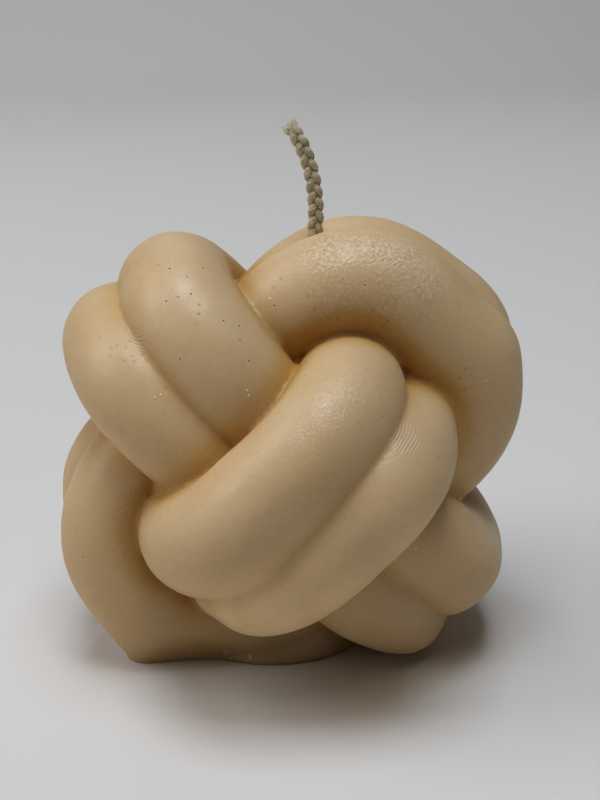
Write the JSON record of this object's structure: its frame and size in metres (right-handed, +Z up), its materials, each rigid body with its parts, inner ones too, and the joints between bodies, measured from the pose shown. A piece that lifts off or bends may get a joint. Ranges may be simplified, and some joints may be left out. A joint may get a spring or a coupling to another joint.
{
  "type": "knot candle",
  "caption": "Moulded wax candle in the form of a doubled ball knot, on a flat round foot, with a plaited cotton wick standing at its crest.",
  "frame": {"origin": "middle of the candle's bounding box on the plane that it stands on", "axes": "+Z up along the wick, +X to the candle's right seen from the front, -Y towards the front, where one pair of strands runs from lower left to upper right"},
  "size_m": [0.08, 0.0856, 0.0929],
  "materials": {
    "cream_wax": "cast wax, satin and slightly translucent, without gloss",
    "wick_cotton": "waxed cotton, plaited and matt"
  },
  "bodies": {
    "root": {"wax_knot": "cream_wax", "wick_strand_1": "wick_cotton", "wick_strand_2": "wick_cotton", "wick_strand_3": "wick_cotton"}
  },
  "joints": []
}
